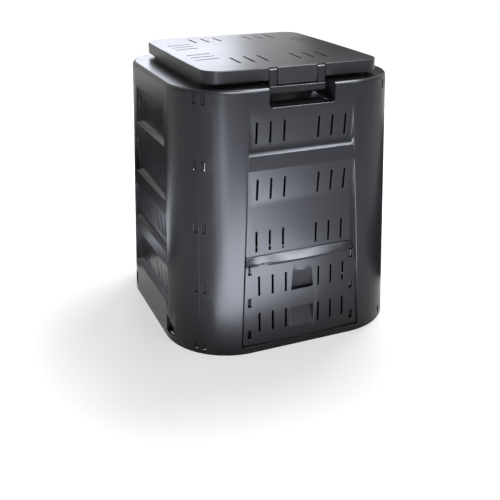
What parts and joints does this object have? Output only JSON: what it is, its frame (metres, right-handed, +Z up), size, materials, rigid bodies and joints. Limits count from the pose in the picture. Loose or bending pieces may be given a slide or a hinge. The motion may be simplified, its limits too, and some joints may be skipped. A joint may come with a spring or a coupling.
{
  "type": "garden compost bin",
  "caption": "tall tapered compost bin with louvred, slotted walls snapped together at rounded corners, a hinged lid with wind latch and a lift-up door",
  "frame": {"origin": "on the ground under the middle of the bin", "axes": "+Z up, the front with the door and the latch faces -Y, +X is the right-hand side seen from the front"},
  "size_m": [0.719, 0.7197, 0.826],
  "materials": {
    "wall_plastic": "satin anthracite, fine moulded grain",
    "door_plastic": "satin anthracite, fine moulded grain",
    "lid_plastic": "satin anthracite, fine moulded grain",
    "latch_plastic": "satin anthracite",
    "pin_plastic": "plain black"
  },
  "bodies": {
    "bin": {"front_wall": "wall_plastic", "left_wall": "wall_plastic", "right_wall": "wall_plastic", "back_wall": "wall_plastic", "hinge_pin_left": "pin_plastic", "hinge_pin_right": "pin_plastic"},
    "door": {"compost_door": "door_plastic"},
    "lid": {"lid": "lid_plastic"},
    "latch": {"lid_latch": "latch_plastic"}
  },
  "joints": [
    {"name": "door_lift", "type": "slide", "parent": "bin", "child": "door", "axis": [0, 0, 1], "range_m": [0, 0.07]},
    {"name": "lid_hinge", "type": "hinge", "parent": "bin", "child": "lid", "pos_m": [0, 0.297, 0.7832], "axis": [-1, 0, 0], "range_deg": [0, 105]},
    {"name": "latch_pivot", "type": "hinge", "parent": "lid", "child": "latch", "pos_m": [0, -0.2926, 0.8099], "axis": [-1, 0, 0], "range_deg": [0, 75]}
  ]
}
